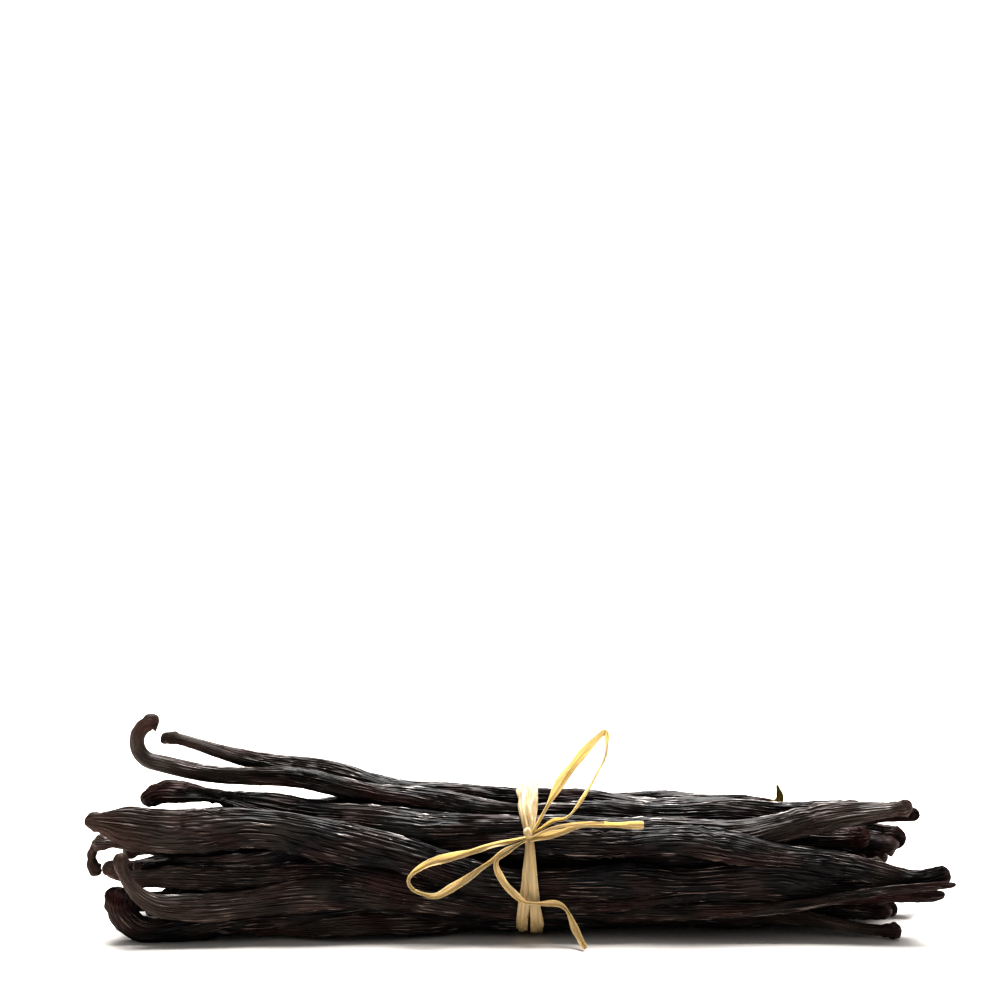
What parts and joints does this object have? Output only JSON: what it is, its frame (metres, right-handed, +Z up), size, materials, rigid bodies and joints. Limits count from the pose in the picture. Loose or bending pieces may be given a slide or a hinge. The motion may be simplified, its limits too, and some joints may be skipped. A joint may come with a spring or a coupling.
{
  "type": "bundle of vanilla pods",
  "caption": "Long thin cured vanilla pods lying side by side, with curled stems, tied round the waist with a raffia bow.",
  "frame": {"origin": "on the surface it lies on, under the middle of the whole bundle", "axes": "+X along the pods, -Y to the side with the knot and bow, +Z up"},
  "size_m": [0.187, 0.0437, 0.0465],
  "materials": {
    "cured_pod": "oily, finely wrinkled",
    "raffia": "dry, fibrous, slightly glossy"
  },
  "bodies": {
    "root": {"pod_bundle": "cured_pod", "raffia_tie": "raffia"}
  },
  "joints": []
}
